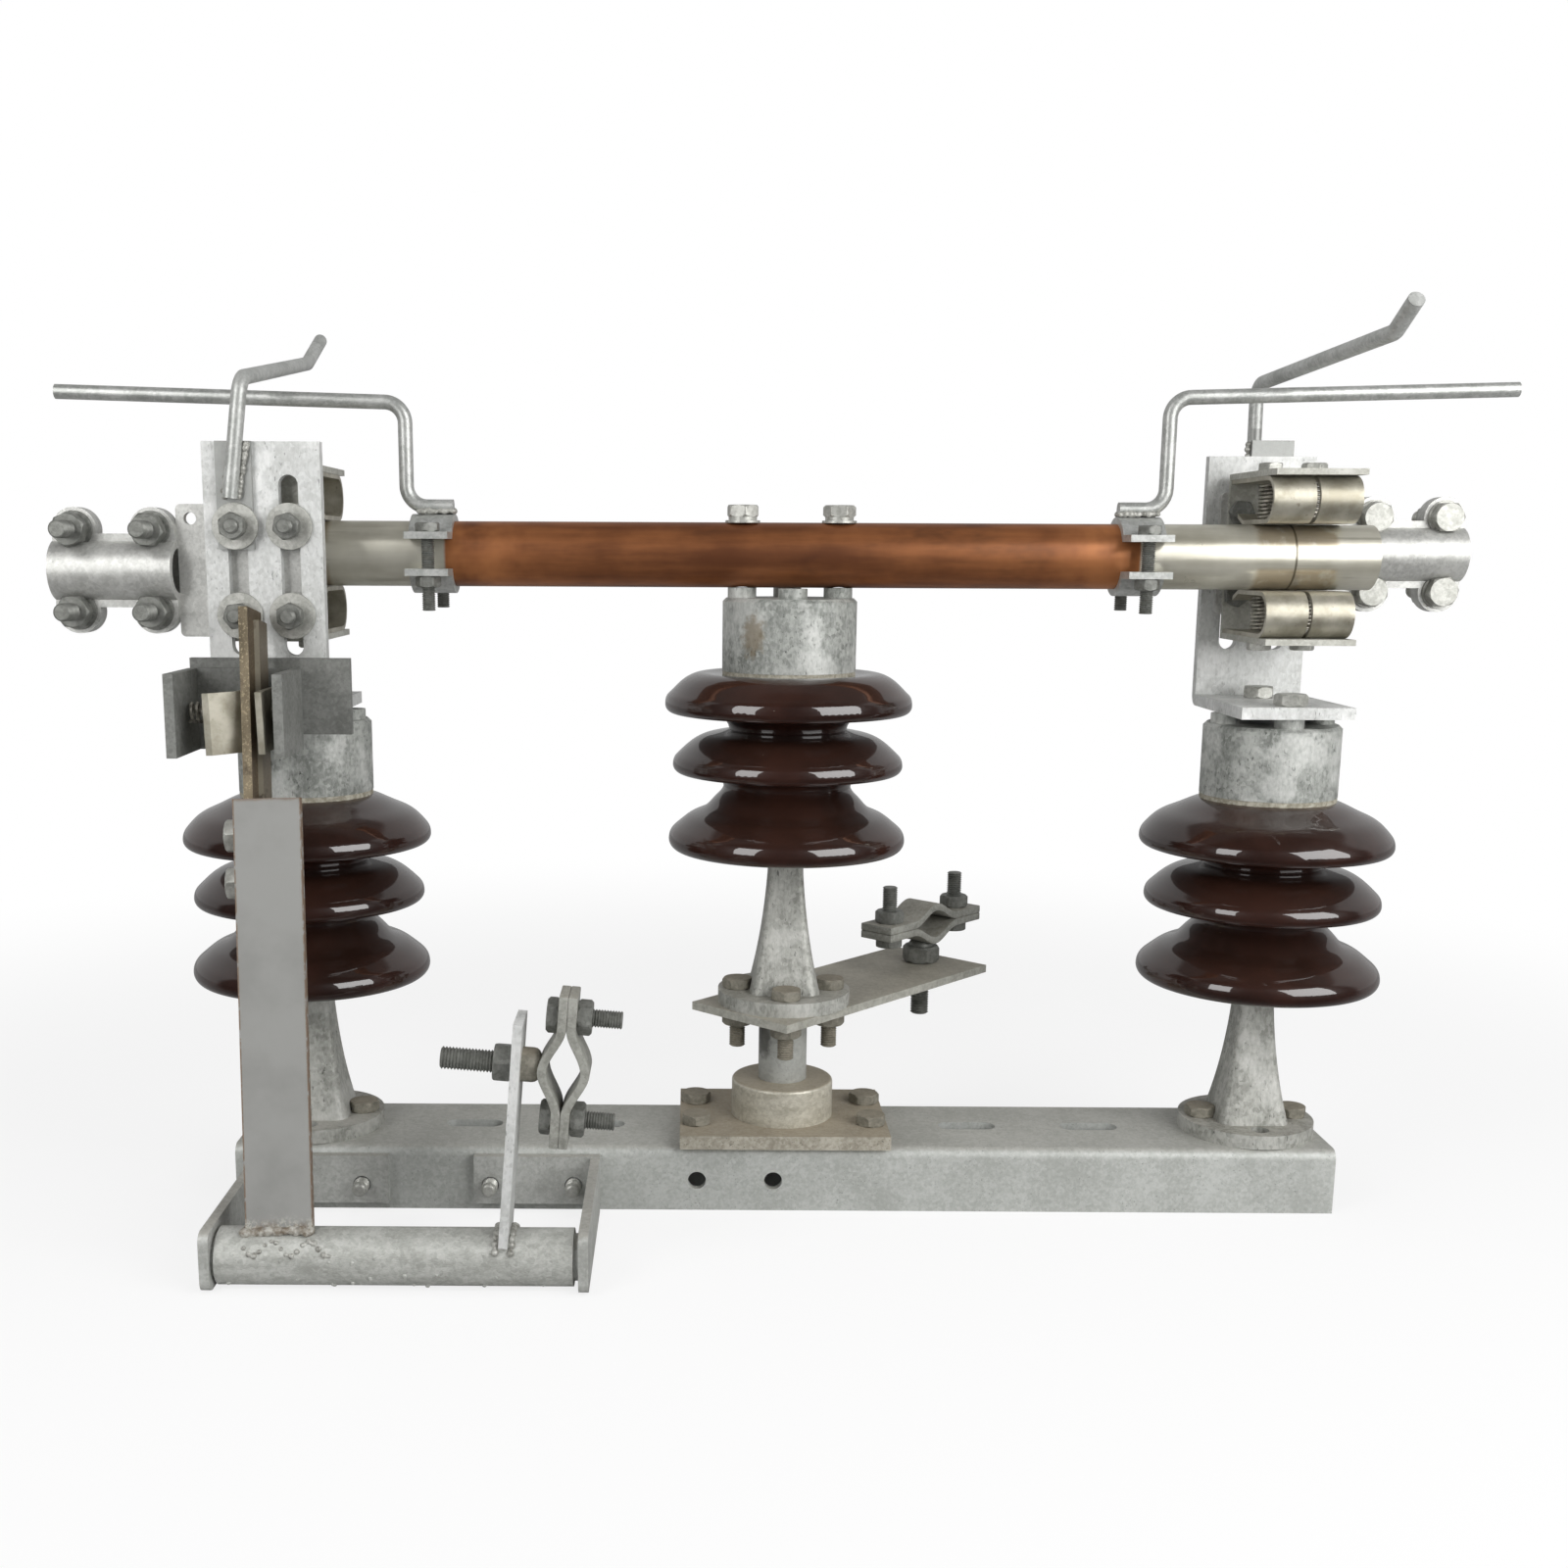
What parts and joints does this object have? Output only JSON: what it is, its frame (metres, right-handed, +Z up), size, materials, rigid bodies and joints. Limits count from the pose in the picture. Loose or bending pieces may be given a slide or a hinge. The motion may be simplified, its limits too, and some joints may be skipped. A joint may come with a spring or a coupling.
{
  "type": "centre rotating double break disconnector pole with earth switch",
  "caption": "Disconnector pole: copper contact tube on a turning centre post between outer porcelain posts, with arcing horns, reverse loop jaws and an earth switch on a steel channel.",
  "frame": {"origin": "floor under the centre post's axis, at the foot of the base channel", "axes": "+X along the base channel to the right, +Y to the rear, +Z up; the earth switch is on the -Y side"},
  "size_m": [0.8532, 0.3267, 0.5379],
  "materials": {
    "galvanized": "mottled hot dip galvanized steel",
    "cast_galvanized": "galvanized casting",
    "porcelain": "dark brown glaze",
    "copper": "worn copper, plated at the ends",
    "plated_contact": "worn plated copper",
    "blade_copper": "dull plated copper",
    "spring_steel": "coiled wire",
    "grey_paint": "flat grey paint",
    "terminal_alloy": "cast, dull"
  },
  "bodies": {
    "base": {"base_channel": "galvanized", "bearing_plate": "galvanized", "bearing_housing": "galvanized", "earth_bearing_left": "galvanized", "earth_bearing_right": "galvanized", "earth_jaw": "galvanized", "earth_jaw_fingers": "plated_contact", "earth_jaw_springs": "spring_steel", "pedestal_left": "cast_galvanized", "porcelain_left": "porcelain", "cap_left": "cast_galvanized", "bracket_left": "galvanized", "terminal_plate_left": "terminal_alloy", "jaw_angles_left": "galvanized", "jaw_fingers_left": "plated_contact", "jaw_springs_left": "spring_steel", "terminal_clamp_left": "terminal_alloy", "fixed_horn_left": "galvanized", "pedestal_right": "cast_galvanized", "porcelain_right": "porcelain", "cap_right": "cast_galvanized", "bracket_right": "galvanized", "terminal_plate_right": "terminal_alloy", "jaw_angles_right": "galvanized", "jaw_fingers_right": "plated_contact", "jaw_springs_right": "spring_steel", "terminal_clamp_right": "terminal_alloy", "fixed_horn_right": "galvanized"},
    "rotor": {"rotor_shaft": "galvanized", "lever_plate": "galvanized", "pedestal_centre": "cast_galvanized", "porcelain_centre": "porcelain", "cap_centre": "cast_galvanized", "contact_tube": "copper", "horn_clamps_upper": "galvanized", "horn_clamps_lower": "galvanized", "moving_horn_left": "galvanized", "moving_horn_right": "galvanized"},
    "operating_clamp": {"main_clamp_lower": "galvanized", "main_clamp_upper": "galvanized"},
    "earth_switch": {"earth_pipe": "galvanized", "earth_arm": "grey_paint", "earth_blade": "blade_copper", "earth_lever": "galvanized"},
    "earth_clamp": {"earth_clamp_inner": "galvanized", "earth_clamp_outer": "galvanized"}
  },
  "joints": [
    {"name": "rotor_turn", "type": "hinge", "parent": "base", "child": "rotor", "pos_m": [0, 0, 0.06], "axis": [0, 0, -1], "range_deg": [0, 60]},
    {"name": "earth_swing", "type": "hinge", "parent": "base", "child": "earth_switch", "pos_m": [-0.221, -0.15, 0.0162], "axis": [1, 0, 0], "range_deg": [0, 70]},
    {"name": "operating_clamp_pivot", "type": "hinge", "parent": "rotor", "child": "operating_clamp", "pos_m": [0.09981, 0.10518, 0.1213], "axis": [0, 0, 1], "range_deg": [-60, 60]},
    {"name": "earth_clamp_pivot", "type": "hinge", "parent": "earth_switch", "child": "earth_clamp", "pos_m": [-0.15083, -0.15, 0.12636], "axis": [0.9969, 0, -0.0785], "range_deg": [-25, 25]}
  ]
}
